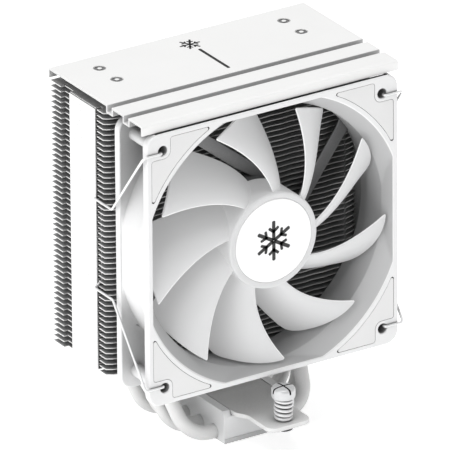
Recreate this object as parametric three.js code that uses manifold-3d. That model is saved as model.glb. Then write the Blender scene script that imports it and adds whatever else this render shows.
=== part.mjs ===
// CPU tower cooler: a finned tower on four U-shaped heat pipes, with a grooved top
// cover and a 120 mm fan held by two wire clips, on a base block with a cross bar
// and two spring screws.
//
// Millimetres, +Z up. The origin is the centre of the base's contact face. The fan
// faces -Y, and +X is to the right as seen from the fan.

import * as THREE from 'three';
import { mergeVertices } from 'three/addons/utils/BufferGeometryUtils.js';
import Module from 'manifold-3d';

const wasm = await Module();
wasm.setup();

// ---------------------------------------------------------------- driving dimensions

const GAP = 0.3;                 // clearance kept between pieces that touch

// Fan: a standard 120 x 120 x 25 mm fan with holes on a 105 mm square
const FAN_SIZE = 120;
const FAN_DEPTH = 25;
const FAN_HOLE_PITCH = 105;
const FAN_HOLE_R = 2.15;
const FAN_FRONT_Y = -35.5;       // plane of the fan's front face
const FAN_CENTRE_Z = 91.5;
const FLANGE = 3.7;              // thickness of the fan's front and rear flanges
const POST_R = 3.5;              // tubes that join the flanges around the mounting holes
const DUCT_R = 57;               // inner radius of the fan's duct
const MOUTH_R = 62.5;            // radius of the inlet at the front face
const MOUTH_DEPTH = 7;           // depth of the inlet's cone
const MOUTH_HALF = 57.7;         // the inlet is cut to a square of this half width
const PAD_T = 1;                 // thickness of the corner pads
const HUB_R = 21;
const HUB_DEPTH = 16.5;
const BLADES = 9;
const TIP_R = 56;
const SEAT_FLOOR = 1.8 - FAN_DEPTH;  // floor of the cup that the motor sits in
const SEAT_R = 19;
const STRUT = { offset: 19.3, halfWidth: 3.1, depth: 4.1, foot: 54 };  // foot angle in degrees
const PAD = { half: 58, notch: 49, arc: 64.4 };  // outline of a corner pad

// Fin stack
const FIN_HALF_X = 60.5;
const FIN_FRONT_Y = -9.9;
const FIN_BACK_Y = 37.7;
const FIN_Z0 = 34;
const FIN_Z1 = 150.5;
const FIN_COUNT = 10;            // plates modelled; the real stack has about five times as many
const FIN_T = 1.5;
const NOTCH_Y = [-0.1, 3.4];      // notch that holds the fan clips
const NOTCH_DEPTH = 3;
const FIN_CHAMFER = [10, 5.2];    // cut off each front corner, in X and in Y
const RECESS = [2, 6.5];         // depth and length of the recess behind the folded tabs
const TAB_Y = [3.4, 23];         // folded tabs that close the sides of the stack

// Cover
const COVER_HALF_X = 61.4;
const COVER_Y = [-33.9, 37.9];
const COVER_TOP_Z = 156.1;
const COVER_T = 0.9;
const COVER_LIP_Z = 151.8;
const GROOVE_Y = [-23.4, -10.8];  // front wall of each groove
const GROOVE_W = 3.3;
const GROOVE_FLOOR_Z = 152.3;    // underside of the groove floors
const RIVET_X = 44.3;
const RIVET_Y = [12.4, 25.7];
const RIVET_HOLE_R = 2.65;

// Base, bar and pipes
const PIPE_R = 3;
const PIPE_Z = 3.05;             // height of the pipes' axes in the base
const PIPE_BASE_Y = [-15.6, -5.2, 5.2, 15.6];
const PIPE_FIN_XY = [[34.5, 1.2], [40.1, 6], [32.1, 15], [39.5, 22.5]];
const BASE_HALF = [17, 24];
const BASE_TOP_Z = 14.3;
const BAR_T = 2;
const BAR_HALF_X = 13.2;
const LUG_HALF_X = 10.2;
const BAR_HALF_Y = 48.5;
const BAR_Z0 = BASE_TOP_Z - BAR_T;
const BAR_SCREW_X = [-7, 7];

// Spring screws, 84.2 mm apart
const SCREW_Y = 42.1;
const SCREW_R = 1.9;
const HEAD_R = 5;
const HEAD_Z = [24.3, 29.3];
const SCREW_END_Z = 9.9;
const SPRING_R = [2.4, 3.9];
const SPRING_Z = [BASE_TOP_Z + GAP, HEAD_Z[0] - GAP];

// Fan clips
const WIRE_R = 0.65;
const CLIP_HOOK_Z = 51.7;        // height of the hooks above and below the fan's centre
const CLIP_LOOP_Z = 20;          // height of the loop's legs above and below the fan's centre
const CLIP_X = 62;

// ---------------------------------------------------------------- materials

function material(color, roughness, metalness) {
  return new THREE.MeshStandardMaterial({ color, roughness, metalness });
}

const PAINT = {
  whitePaint: material(0xf4f4f2, 0.45, 0.05),
  whitePlastic: material(0xf1f1f0, 0.55, 0),
  bladePlastic: material(0xe4e5e6, 0.5, 0),
  hubPlastic: material(0xfbfbfb, 0.35, 0),
  padRubber: material(0xefefee, 0.8, 0),
  aluminium: material(0xd0d2d4, 0.35, 0.9),
  steel: material(0xb4b8bc, 0.35, 0.9),
  whiteSteel: material(0xe9eaeb, 0.3, 0.4),
  brass: material(0xc9a55a, 0.4, 0.9),
  copper: material(0xb8693a, 0.4, 0.8),
  ferrite: material(0x2b2b2d, 0.7, 0.1),
  circuit: material(0x2f6b45, 0.6, 0),
};

// ---------------------------------------------------------------- geometry helpers

// Merges a geometry's vertices, drops collapsed triangles and turns its faces outwards.
function sealed(geometry) {
  geometry.deleteAttribute('normal');
  geometry.deleteAttribute('uv');
  const merged = mergeVertices(geometry, 1e-4);
  const position = merged.attributes.position;
  const corner = [new THREE.Vector3(), new THREE.Vector3(), new THREE.Vector3()];
  const triangles = [];
  let volume = 0;
  for (let i = 0; i < merged.index.count; i += 3) {
    const ids = [0, 1, 2].map((k) => merged.index.getX(i + k));
    if (new Set(ids).size < 3) continue;
    triangles.push(ids);
    corner.forEach((point, k) => point.fromBufferAttribute(position, ids[k]));
    volume += corner[0].dot(corner[1].clone().cross(corner[2]));
  }
  if (volume < 0) triangles.forEach((ids) => ids.reverse());
  merged.setIndex(triangles.flat());
  return merged;
}

function toSolid(geometry) {
  const closed = sealed(geometry.clone());
  return new wasm.Manifold(new wasm.Mesh({
    numProp: 3,
    vertProperties: new Float32Array(closed.attributes.position.array),
    triVerts: new Uint32Array(closed.index.array),
  }));
}

function toGeometry(solid) {
  const mesh = solid.getMesh();
  const geometry = new THREE.BufferGeometry();
  geometry.setAttribute('position', new THREE.BufferAttribute(mesh.vertProperties, 3));
  geometry.setIndex(new THREE.BufferAttribute(mesh.triVerts, 1));
  return geometry;
}

function join(...geometries) {
  return toGeometry(geometries.map(toSolid).reduce((whole, part) => whole.add(part)));
}

function cut(geometry, ...tools) {
  return toGeometry(tools.map(toSolid).reduce((rest, tool) => rest.subtract(tool), toSolid(geometry)));
}

function common(first, second) {
  return toGeometry(toSolid(first).intersect(toSolid(second)));
}

function box(x, y, z) {
  const geometry = new THREE.BoxGeometry(x[1] - x[0], y[1] - y[0], z[1] - z[0]);
  return geometry.translate((x[0] + x[1]) / 2, (y[0] + y[1]) / 2, (z[0] + z[1]) / 2);
}

// A solid of revolution about Z from [radius, z] points.
function turned(profile, segments) {
  const points = profile.map(([radius, z]) => new THREE.Vector2(radius, z));
  return new THREE.LatheGeometry(points, segments).rotateX(Math.PI / 2);
}

function ring(inner, outer, z0, z1, segments) {
  return turned([[inner, z0], [outer, z0], [outer, z1], [inner, z1], [inner, z0]], segments);
}

function rod(radius, z0, z1, segments) {
  return turned([[0, z0], [radius, z0], [radius, z1], [0, z1]], segments);
}

// A shape in the XY plane raised from z0 to z1.
function slab(shape, z0, z1) {
  const options = { depth: z1 - z0, bevelEnabled: false, curveSegments: 6 };
  return new THREE.ExtrudeGeometry(shape, options).translate(0, 0, z0);
}

function polygon(points) {
  return new THREE.Shape(points.map(([x, y]) => new THREE.Vector2(x, y)));
}

function roundedSquare(half, radius) {
  const shape = new THREE.Shape();
  const straight = half - radius;
  shape.absarc(straight, straight, radius, 0, Math.PI / 2);
  shape.absarc(-straight, straight, radius, Math.PI / 2, Math.PI);
  shape.absarc(-straight, -straight, radius, Math.PI, 1.5 * Math.PI);
  shape.absarc(straight, -straight, radius, 1.5 * Math.PI, 2 * Math.PI);
  return shape;
}

// A curve that steps exactly through its stations.
class StationCurve extends THREE.Curve {
  constructor(stations) {
    super();
    this.stations = stations;
  }

  getPoint(t, target = new THREE.Vector3()) {
    return target.copy(this.stations[Math.round(t * (this.stations.length - 1))]);
  }

  getPointAt(u, target) {
    return this.getPoint(u, target);
  }

  getTangentAt(u, target = new THREE.Vector3()) {
    const last = this.stations.length - 1;
    const i = Math.round(u * last);
    const ahead = this.stations[Math.min(i + 1, last)].clone().sub(this.stations[i]).normalize();
    const behind = this.stations[i].clone().sub(this.stations[Math.max(i - 1, 0)]).normalize();
    return target.copy(ahead.add(behind)).normalize();
  }
}

// The stations of a route whose corners are rounded by arcs.
function roundedRoute(corners, radii, arcSteps) {
  const points = corners.map((corner) => new THREE.Vector3(...corner));
  const stations = [points[0]];
  for (let i = 1; i < points.length - 1; i += 1) {
    const before = points[i - 1].clone().sub(points[i]).normalize();
    const after = points[i + 1].clone().sub(points[i]).normalize();
    const turn = Math.PI - before.angleTo(after);
    const reach = radii[i - 1] * Math.tan(turn / 2);
    const bisector = before.clone().add(after).normalize();
    const centre = points[i].clone().addScaledVector(bisector, radii[i - 1] / Math.cos(turn / 2));
    const start = points[i].clone().addScaledVector(before, reach).sub(centre);
    const axis = after.clone().cross(before).normalize();
    for (let k = 0; k <= arcSteps; k += 1) {
      const arm = start.clone().applyAxisAngle(axis, (turn * k) / arcSteps);
      stations.push(centre.clone().add(arm));
    }
  }
  stations.push(points[points.length - 1]);
  return stations;
}

// A round bar of the given number of sides along the stations.
function bar(stations, radius, sides) {
  const section = new THREE.Shape();
  for (let i = 0; i < sides; i += 1) {
    const angle = (2 * Math.PI * (i + 0.5)) / sides;
    section[i ? 'lineTo' : 'moveTo'](radius * Math.cos(angle), radius * Math.sin(angle));
  }
  const options = { steps: stations.length - 1, extrudePath: new StationCurve(stations) };
  return new THREE.ExtrudeGeometry(section, options);
}

function mirrored(points) {
  return [...points, ...points.map(([x, y]) => [-x, y]).reverse()];
}

// ---------------------------------------------------------------- scene graph

const cooler = new THREE.Group();
const fan = new THREE.Group();         // local x right, y up, z towards the front
fan.position.set(0, FAN_FRONT_Y, FAN_CENTRE_Z);
fan.rotation.x = Math.PI / 2;
cooler.add(fan);

function add(parent, name, geometry, finish) {
  const mesh = new THREE.Mesh(sealed(geometry), finish);
  mesh.name = name;
  parent.add(mesh);
  return mesh;
}

// ---------------------------------------------------------------- base

function baseBlock() {
  const [halfX, halfY] = BASE_HALF;
  const chamfer = [1.6, 3];            // how far the top's front and rear edges are cut back and down
  const profile = [[-halfY, 0], [halfY, 0], [halfY, BASE_TOP_Z - chamfer[1]],
    [halfY - chamfer[0], BASE_TOP_Z], [chamfer[0] - halfY, BASE_TOP_Z],
    [-halfY, BASE_TOP_Z - chamfer[1]]];
  const body = alongX(profile, halfX);
  const channel = BAR_HALF_X + GAP;
  const reach = halfY + 1;
  const tools = [box([-channel, channel], [-reach, reach], [BAR_Z0 - GAP, BASE_TOP_Z + 1])];
  for (const y of PIPE_BASE_Y) {
    const r = PIPE_R + GAP;
    const groove = [[y - r, -1], [y + r, -1], [y + r, PIPE_Z], [y + 0.7 * r, PIPE_Z + 0.75 * r],
      [y, PIPE_Z + r + 0.15], [y - 0.7 * r, PIPE_Z + 0.75 * r], [y - r, PIPE_Z]];
    tools.push(alongX(groove, halfX + 1));
  }
  for (const x of BAR_SCREW_X) tools.push(rod(1.7, 8.2, BASE_TOP_Z, 12).translate(x, 0, 0));
  return cut(body, ...tools);
}

// A [y, z] outline extruded over the width from -halfX to +halfX.
function alongX(outline, halfX) {
  const raised = slab(polygon(outline), -halfX, halfX);
  const axes = new THREE.Matrix4().makeBasis(
    new THREE.Vector3(0, 1, 0), new THREE.Vector3(0, 0, 1), new THREE.Vector3(1, 0, 0));
  return raised.applyMatrix4(axes);
}

function heatPipe(index) {
  const y = PIPE_BASE_Y[index];
  const [finX, finY] = PIPE_FIN_XY[index];
  const elbowX = 29.5;
  const legZ = 30;                     // corner between the slanted leg and the upright
  const right = [[elbowX, y, PIPE_Z], [finX, finY, legZ], [finX, finY, FIN_Z1 - 0.5]];
  const left = right.map(([x, yy, z]) => [-x, yy, z]).reverse();
  const radii = [12, 9.5, 9.5, 12];
  return bar(roundedRoute([...left, ...right], radii, 5), PIPE_R, 8);
}

function mountingBar() {
  const shoulderY = [26, 31];
  const midY = 28.5;
  const corner = 4;
  const outline = new THREE.Shape();
  outline.moveTo(BAR_HALF_X, -shoulderY[0]);
  outline.lineTo(BAR_HALF_X, shoulderY[0]);
  outline.bezierCurveTo(BAR_HALF_X, midY, LUG_HALF_X, midY, LUG_HALF_X, shoulderY[1]);
  outline.absarc(LUG_HALF_X - corner, BAR_HALF_Y - corner, corner, 0, Math.PI / 2);
  outline.absarc(corner - LUG_HALF_X, BAR_HALF_Y - corner, corner, Math.PI / 2, Math.PI);
  outline.lineTo(-LUG_HALF_X, shoulderY[1]);
  outline.bezierCurveTo(-LUG_HALF_X, midY, -BAR_HALF_X, midY, -BAR_HALF_X, shoulderY[0]);
  outline.lineTo(-BAR_HALF_X, -shoulderY[0]);
  outline.bezierCurveTo(-BAR_HALF_X, -midY, -LUG_HALF_X, -midY, -LUG_HALF_X, -shoulderY[1]);
  outline.absarc(corner - LUG_HALF_X, corner - BAR_HALF_Y, corner, Math.PI, 1.5 * Math.PI);
  outline.absarc(LUG_HALF_X - corner, corner - BAR_HALF_Y, corner, 1.5 * Math.PI, 2 * Math.PI);
  outline.lineTo(LUG_HALF_X, -shoulderY[1]);
  outline.bezierCurveTo(LUG_HALF_X, -midY, BAR_HALF_X, -midY, BAR_HALF_X, -shoulderY[0]);
  const holes = [...BAR_SCREW_X.map((x) => [1.7, x, 0]), [2.4, 0, SCREW_Y], [2.4, 0, -SCREW_Y]];
  const tools = holes.map(([r, x, y]) => rod(r, BAR_Z0 - 1, BASE_TOP_Z + 1, 12).translate(x, y, 0));
  return cut(slab(outline, BAR_Z0, BASE_TOP_Z), ...tools);
}

function barScrew(x) {
  const head = BASE_TOP_Z + GAP;
  const profile = [[0, 8.6], [1.4, 8.6], [1.4, head], [2.6, head], [2.6, head + 1], [1.8, head + 1.6],
    [0, head + 1.6]];
  return turned(profile, 12).translate(x, 0, 0);
}

// ---------------------------------------------------------------- spring screws

function springScrew(y) {
  const [under, top] = HEAD_Z;
  const neck = [11.05, 12.05];         // groove that holds the retaining ring
  const profile = [[0, SCREW_END_Z], [SCREW_R - 0.4, SCREW_END_Z], [SCREW_R, SCREW_END_Z + 0.4],
    [SCREW_R, neck[0]], [1.5, neck[0]], [1.5, neck[1]], [SCREW_R, neck[1]], [SCREW_R, under],
    [HEAD_R, under], [HEAD_R, under + 1.6], [4.4, top - 1.5], [2.7, top - 0.3], [0, top]];
  const slot = 0.45;
  const reach = HEAD_R + 1;
  const slots = [box([-slot, slot], [-reach, reach], [top - 2.2, top + 1]),
    box([-reach, reach], [-slot, slot], [top - 2.2, top + 1])];
  return cut(turned(profile, 16), ...slots).translate(0, y, 0);
}

// A C-shaped ring, open towards +X.
function retainingRing(y) {
  const [inner, outer, opening] = [1.8, 4, 0.6];
  const shape = new THREE.Shape();
  shape.absarc(0, 0, outer, opening, 2 * Math.PI - opening);
  shape.absarc(0, 0, inner, 2 * Math.PI - opening, opening, true);
  return slab(shape, 11.3, 11.8).translate(0, y, 0);
}

function screwSpring(y) {
  return ring(SPRING_R[0], SPRING_R[1], SPRING_Z[0], SPRING_Z[1], 16).translate(0, y, 0);
}

// ---------------------------------------------------------------- fin stack and cover

function finOutline() {
  const edge = FIN_HALF_X - 0.3;       // the folded tabs stand a little outside the plates
  const recess = FIN_HALF_X - RECESS[0];
  const recessEnd = TAB_Y[1] + RECESS[1];
  const [chamferX, chamferY] = FIN_CHAMFER;
  const right = [[FIN_HALF_X - chamferX, FIN_FRONT_Y], [FIN_HALF_X, FIN_FRONT_Y + chamferY],
    [FIN_HALF_X, NOTCH_Y[0]], [FIN_HALF_X - NOTCH_DEPTH, NOTCH_Y[0]],
    [FIN_HALF_X - NOTCH_DEPTH, NOTCH_Y[1]], [edge, NOTCH_Y[1]], [edge, TAB_Y[1]], [recess, TAB_Y[1]],
    [recess, recessEnd], [FIN_HALF_X, recessEnd], [FIN_HALF_X, FIN_BACK_Y]];
  const shape = polygon(mirrored(right));
  for (const [x, y] of PIPE_FIN_XY) {
    for (const side of [-1, 1]) {
      const hole = new THREE.Path();
      for (let i = 0; i < 6; i += 1) {
        const angle = (Math.PI * i) / 3;
        const r = (PIPE_R + GAP) / Math.cos(Math.PI / 6);
        hole[i ? 'lineTo' : 'moveTo'](side * x + r * Math.cos(angle), y + r * Math.sin(angle));
      }
      hole.closePath();
      shape.holes.push(hole);
    }
  }
  return shape;
}

function finStack() {
  const outline = finOutline();
  const pitch = (FIN_Z1 - FIN_Z0 - FIN_T) / (FIN_COUNT - 1);
  const pieces = [];
  for (let i = 0; i < FIN_COUNT; i += 1) {
    pieces.push(slab(outline, FIN_Z0 + i * pitch, FIN_Z0 + i * pitch + FIN_T));
  }
  for (const side of [-1, 1]) {
    const x = [side * (FIN_HALF_X - 0.8), side * FIN_HALF_X].sort((a, b) => a - b);
    pieces.push(box(x, TAB_Y, [FIN_Z0, FIN_Z1]));
  }
  return join(...pieces);
}

function coverShell() {
  const [front, back] = COVER_Y;
  const t = COVER_T;
  const top = COVER_TOP_Z;
  const outer = [[front, COVER_LIP_Z], [front, top]];
  const inner = [[front + t, COVER_LIP_Z], [front + t, top - t]];
  for (const y of GROOVE_Y) {
    const far = y + GROOVE_W;
    outer.push([y, top], [y, GROOVE_FLOOR_Z + t], [far, GROOVE_FLOOR_Z + t], [far, top]);
    inner.push([y - t, top - t], [y - t, GROOVE_FLOOR_Z], [far + t, GROOVE_FLOOR_Z], [far + t, top - t]);
  }
  outer.push([back, top], [back, COVER_LIP_Z]);
  inner.push([back - t, top - t], [back - t, COVER_LIP_Z]);
  const sheet = alongX([...outer, ...inner.reverse()], COVER_HALF_X);
  const hole = rod(RIVET_HOLE_R, top - 2 * t, top + 1, 12);
  return cut(sheet, ...rivetPlaces().map(([x, y]) => hole.clone().translate(x, y, 0)));
}

function rivetPlaces() {
  return RIVET_Y.flatMap((y) => [[-RIVET_X, y], [RIVET_X, y]]);
}

// A push-in fastener: a plug with a ring groove in its face, a flange under the cover
// and a shank that stands on the top fin.
function coverRivet([x, y]) {
  const plug = RIVET_HOLE_R - GAP;
  const face = COVER_TOP_Z - 0.05;
  const under = COVER_TOP_Z - COVER_T - GAP;
  const profile = [[0, FIN_Z1 + GAP], [1.6, FIN_Z1 + GAP], [1.6, under - 0.8], [3.4, under - 0.8],
    [3.4, under], [plug, under], [plug, face], [2.1, face - 0.5], [1.3, face - 0.5], [1.3, face],
    [0, face]];
  return turned(profile, 12).translate(x, y, 0);
}

// ---------------------------------------------------------------- fan frame

// Outline of a corner pad in the first quadrant, drawn in by an inset.
function padShape(inset) {
  const outer = PAD.half - inset;
  const notch = PAD.notch - inset;
  const radius = PAD.arc + inset;
  const meet = Math.sqrt(radius * radius - outer * outer);
  const end = Math.atan2(meet, outer);
  const shape = new THREE.Shape();
  shape.moveTo(meet, outer);
  shape.lineTo(notch, outer);
  shape.lineTo(notch, notch);
  shape.lineTo(outer, notch);
  shape.absarc(0, 0, radius, end, Math.PI / 2 - end);
  return shape;
}

// A straight strut that leans past the fan's axis by its offset.
function strut(index) {
  const { offset, halfWidth, depth, foot } = STRUT;
  const turn = THREE.MathUtils.degToRad(foot + 90 * index);
  const width = [offset - halfWidth, offset + halfWidth];
  const arm = box(width, [2, DUCT_R], [-FAN_DEPTH, depth - FAN_DEPTH]).rotateZ(turn);
  return cut(arm, rod(SEAT_R + 0.2, SEAT_FLOOR, 0, 32));
}

function motorSeat() {
  const floor = SEAT_FLOOR;
  const [wall, brim, socket] = [SEAT_R + 1.3, -17.5, -19.5];
  const profile = [[0, -FAN_DEPTH], [wall, -FAN_DEPTH], [wall, brim], [SEAT_R, brim], [SEAT_R, floor],
    [6.2, floor], [6.2, socket], [4.3, socket], [4.3, floor], [0, floor]];
  return turned(profile, 32);
}

function fanFrame() {
  const half = FAN_SIZE / 2;
  const front = slab(roundedSquare(half, 5.5), -FLANGE, 0);
  const rear = slab(roundedSquare(half, 5.5), -FAN_DEPTH, FLANGE - FAN_DEPTH);
  const ductProfile = [[0, 0], [MOUTH_R + 1.5, 0], [60.8, -9], [60.8, -FAN_DEPTH], [0, -FAN_DEPTH]];
  const flat = half - 0.6;
  const duct = common(turned(ductProfile, 48), box([-flat, flat], [-flat, flat], [-FAN_DEPTH, 0]));
  const boreProfile = [[0, 1], [MOUTH_R, 1], [MOUTH_R, 0], [DUCT_R, -MOUTH_DEPTH],
    [DUCT_R, -FAN_DEPTH - 1], [0, -FAN_DEPTH - 1]];
  const square = [-MOUTH_HALF, MOUTH_HALF];
  const bore = common(turned(boreProfile, 48), box(square, square, [-FAN_DEPTH - 1, 1]));
  const tools = [bore];
  for (let i = 0; i < 4; i += 1) {
    const turn = (Math.PI / 2) * i;
    const hole = FAN_HOLE_PITCH / 2;
    const depth = PAD_T + GAP;
    tools.push(rod(FAN_HOLE_R, -FAN_DEPTH - 1, 1, 12).translate(hole, hole, 0).rotateZ(turn));
    tools.push(slab(padShape(0), -depth, 1).rotateZ(turn));
    tools.push(slab(padShape(0), -FAN_DEPTH - 1, depth - FAN_DEPTH).rotateZ(turn));
  }
  const posts = [0, 1, 2, 3].map((i) => rod(POST_R, -FAN_DEPTH + 1, -1, 16)
    .translate(FAN_HOLE_PITCH / 2, FAN_HOLE_PITCH / 2, 0).rotateZ((Math.PI / 2) * i));
  const shell = cut(join(front, rear, duct, ...posts), ...tools);
  return join(shell, motorSeat(), ...[0, 1, 2, 3].map(strut));
}

// ---------------------------------------------------------------- impeller

// A blade is a thin section swept from the hub to the tip. The section runs from the
// leading edge (0) to the trailing edge (1); angles are in degrees, counter-clockwise.
function blade(tipAngle) {
  const steps = 4;
  const chord = [0, 0.2, 0.5, 0.8, 1];
  const section = polygon([...chord.map((t) => [t, 0.25 + 1.4 * t * (1 - t)]),
    ...chord.map((t) => [t, -0.25]).reverse()]);
  const geometry = new THREE.ExtrudeGeometry(section, { steps, depth: 1, bevelEnabled: false });
  const position = geometry.attributes.position;
  for (let i = 0; i < position.count; i += 1) {
    const t = position.getX(i);
    const radius = THREE.MathUtils.lerp(HUB_R - 0.8, TIP_R, position.getZ(i));
    const span = (radius - HUB_R) / (TIP_R - HUB_R);
    const sweep = -0.3 + 21.9 * (1 - span) + 7.4 * (1 - span) ** 2;
    const width = 32.1 - 15.9 * span + 12.2 * span ** 2;
    const angle = THREE.MathUtils.degToRad(tipAngle - sweep - width * t);
    const depth = 2 + span + (14 + 3 * span) * (t - 0.9 * t * (1 - t));
    position.setXYZ(i, radius * Math.cos(angle), radius * Math.sin(angle), position.getY(i) - depth);
  }
  return geometry;
}

function impellerBody() {
  const cap = 2.4;
  const profile = [[0, -0.9], [18.3, -0.9], [18.3, 0], [20.4, 0], [HUB_R, -0.6], [HUB_R, -HUB_DEPTH],
    [19.5, -HUB_DEPTH], [19.5, -cap], [0, -cap]];
  const blades = [];
  for (let i = 0; i < BLADES; i += 1) blades.push(blade(37 + (360 / BLADES) * i));
  return join(turned(profile, 48), ...blades);
}

function rotorCup() {
  const profile = [[1.8, -2.7], [19.2, -2.7], [19.2, -15.5], [18.4, -15.5], [18.4, -3.5], [3.4, -3.5],
    [3.4, -6], [1.8, -6], [1.8, -2.7]];
  return turned(profile, 32);
}

function fanShaft() {
  const r = 1.5;
  const profile = [[0, -2.7], [r, -2.7], [r, -21.2], [1.1, -21.2], [1.1, -22], [r, -22], [r, -22.4],
    [0, -22.4]];
  return turned(profile, 16);
}

// ---------------------------------------------------------------- motor

function statorCore() {
  const shape = new THREE.Shape();
  for (let i = 0; i < 4; i += 1) {
    const axis = (Math.PI / 2) * i;
    const shoe = [-0.6, -0.3, 0, 0.3, 0.6].map((a) => [15.6 * Math.cos(a), 15.6 * Math.sin(a)]);
    const points = [[6.2, -2], [12.6, -2], [11.6, -7.6], ...shoe, [11.6, 7.6], [12.6, 2], [6.2, 2]];
    points.forEach(([x, y], k) => {
      const point = new THREE.Vector2(x, y).rotateAround(new THREE.Vector2(), axis);
      shape[i + k ? 'lineTo' : 'moveTo'](point.x, point.y);
    });
  }
  const hole = new THREE.Path();
  hole.absarc(0, 0, 4.4, 0, 2 * Math.PI, true);
  shape.holes.push(hole);
  return slab(shape, -12.5, -6.5);
}

function statorCoil(index) {
  const winding = box([7, 11.2], [-4.4, 4.4], [-14.2, -4.8]);
  const neck = box([6, 12.2], [-2.3, 2.3], [-12.8, -6.2]);
  return cut(winding, neck).rotateZ((Math.PI / 2) * index);
}

// ---------------------------------------------------------------- fan clips

// Side is -1 for the left clip and +1 for the right one.
function fanClip(side) {
  const hole = FAN_HOLE_PITCH / 2;
  const faceY = FAN_FRONT_Y - 0.9;     // the wire lies just in front of the fan's face
  const notchX = FIN_HALF_X - 1.1;
  const notchY = (NOTCH_Y[0] + NOTCH_Y[1]) / 2;
  const bendY = -11.5;
  const upper = [[hole, FAN_FRONT_Y + 1.9, CLIP_HOOK_Z], [hole, faceY, CLIP_HOOK_Z],
    [CLIP_X, faceY, CLIP_HOOK_Z], [CLIP_X, bendY, CLIP_LOOP_Z], [CLIP_X, notchY, CLIP_LOOP_Z],
    [notchX, notchY, CLIP_LOOP_Z - 2.6]];
  const lower = upper.map(([x, y, z]) => [x, y, -z]).reverse();
  const corners = [...upper, ...lower].map(([x, y, z]) => [side * x, y, FAN_CENTRE_Z + z]);
  const radii = [0.7, 1.5, 1.5, 1, 0.8, 0.8, 1, 1.5, 1.5, 0.7];
  return bar(roundedRoute(corners, radii, 2), WIRE_R, 6);
}

// ---------------------------------------------------------------- assembly

add(cooler, 'base_block', baseBlock(), PAINT.aluminium);
PIPE_BASE_Y.forEach((y, i) => add(cooler, `heat_pipe_${i + 1}`, heatPipe(i), PAINT.whitePaint));
add(cooler, 'mounting_bar', mountingBar(), PAINT.whitePaint);
BAR_SCREW_X.forEach((x, i) => add(cooler, `bar_screw_${i + 1}`, barScrew(x), PAINT.steel));
for (const [end, y] of [['front', -SCREW_Y], ['rear', SCREW_Y]]) {
  add(cooler, `spring_screw_${end}`, springScrew(y), PAINT.whiteSteel);
  add(cooler, `retaining_ring_${end}`, retainingRing(y), PAINT.steel);
  add(cooler, `screw_spring_${end}`, screwSpring(y), PAINT.whiteSteel);
}
add(cooler, 'fin_stack', finStack(), PAINT.whitePaint);
add(cooler, 'top_cover', coverShell(), PAINT.whitePaint);
rivetPlaces().forEach((place, i) => {
  add(cooler, `cover_rivet_${i + 1}`, coverRivet(place), PAINT.whitePaint);
});
add(cooler, 'fan_clip_left', fanClip(-1), PAINT.whiteSteel);
add(cooler, 'fan_clip_right', fanClip(1), PAINT.whiteSteel);

add(fan, 'fan_frame', fanFrame(), PAINT.whitePlastic);
for (let i = 0; i < 4; i += 1) {
  const turn = (Math.PI / 2) * i;
  const front = slab(padShape(GAP), -PAD_T, 0).rotateZ(turn);
  const rear = slab(padShape(GAP), -FAN_DEPTH, PAD_T - FAN_DEPTH).rotateZ(turn);
  add(fan, `fan_pad_front_${i + 1}`, front, PAINT.padRubber);
  add(fan, `fan_pad_rear_${i + 1}`, rear, PAINT.padRubber);
  add(fan, `stator_coil_${i + 1}`, statorCoil(i), PAINT.copper);
}
add(fan, 'bearing_tube', ring(2.9, 4, -22.9, -7.2, 20), PAINT.brass);
add(fan, 'bearing_front', ring(1.65, 2.6, -11.5, -8, 16), PAINT.steel);
add(fan, 'bearing_rear', ring(1.65, 2.6, -20.5, -17, 16), PAINT.steel);
add(fan, 'stator_core', statorCore(), PAINT.steel);
add(fan, 'motor_board', ring(6.5, 18.6, -21.7, -20.5, 24), PAINT.circuit);
add(fan, 'impeller', impellerBody(), PAINT.bladePlastic);
add(fan, 'hub_medallion', rod(18, -0.6, 0, 36), PAINT.hubPlastic);
add(fan, 'rotor_cup', rotorCup(), PAINT.steel);
add(fan, 'magnet_ring', ring(16.3, 18.1, -14, -5, 32), PAINT.ferrite);
add(fan, 'shaft', fanShaft(), PAINT.steel);
add(fan, 'shaft_clip', ring(1.35, 2.5, -21.85, -21.35, 16), PAINT.steel);

export default cooler;
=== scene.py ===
import math

import bmesh
import bpy
from mathutils import Matrix, Vector


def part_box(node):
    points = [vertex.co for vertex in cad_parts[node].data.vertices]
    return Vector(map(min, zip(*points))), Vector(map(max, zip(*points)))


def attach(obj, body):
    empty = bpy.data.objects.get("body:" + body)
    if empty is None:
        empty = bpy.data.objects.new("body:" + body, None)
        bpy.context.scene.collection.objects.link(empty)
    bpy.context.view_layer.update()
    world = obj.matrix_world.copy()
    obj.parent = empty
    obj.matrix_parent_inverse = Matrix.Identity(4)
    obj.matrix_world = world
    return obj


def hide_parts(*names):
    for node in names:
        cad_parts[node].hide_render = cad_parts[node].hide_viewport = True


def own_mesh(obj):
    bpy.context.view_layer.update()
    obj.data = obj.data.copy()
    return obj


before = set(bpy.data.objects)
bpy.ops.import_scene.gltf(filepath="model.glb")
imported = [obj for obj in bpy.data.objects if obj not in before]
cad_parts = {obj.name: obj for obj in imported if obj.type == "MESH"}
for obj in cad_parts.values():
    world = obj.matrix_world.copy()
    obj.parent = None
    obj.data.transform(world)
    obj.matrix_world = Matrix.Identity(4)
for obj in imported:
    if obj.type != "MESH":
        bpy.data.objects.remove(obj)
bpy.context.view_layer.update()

# The cooler's looks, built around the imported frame. Lengths are in millimetres until a
# mesh is made. +Z is up, the fan faces -Y, and +X is on the right of someone facing the fan.

MM = 0.001
TURN = 2 * math.pi


# ------------------------------------------------------------------ places from the frame

def extent(node):
    """Lowest and highest corners of a CAD node, in millimetres."""
    low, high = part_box(node)
    return low / MM, high / MM


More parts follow.
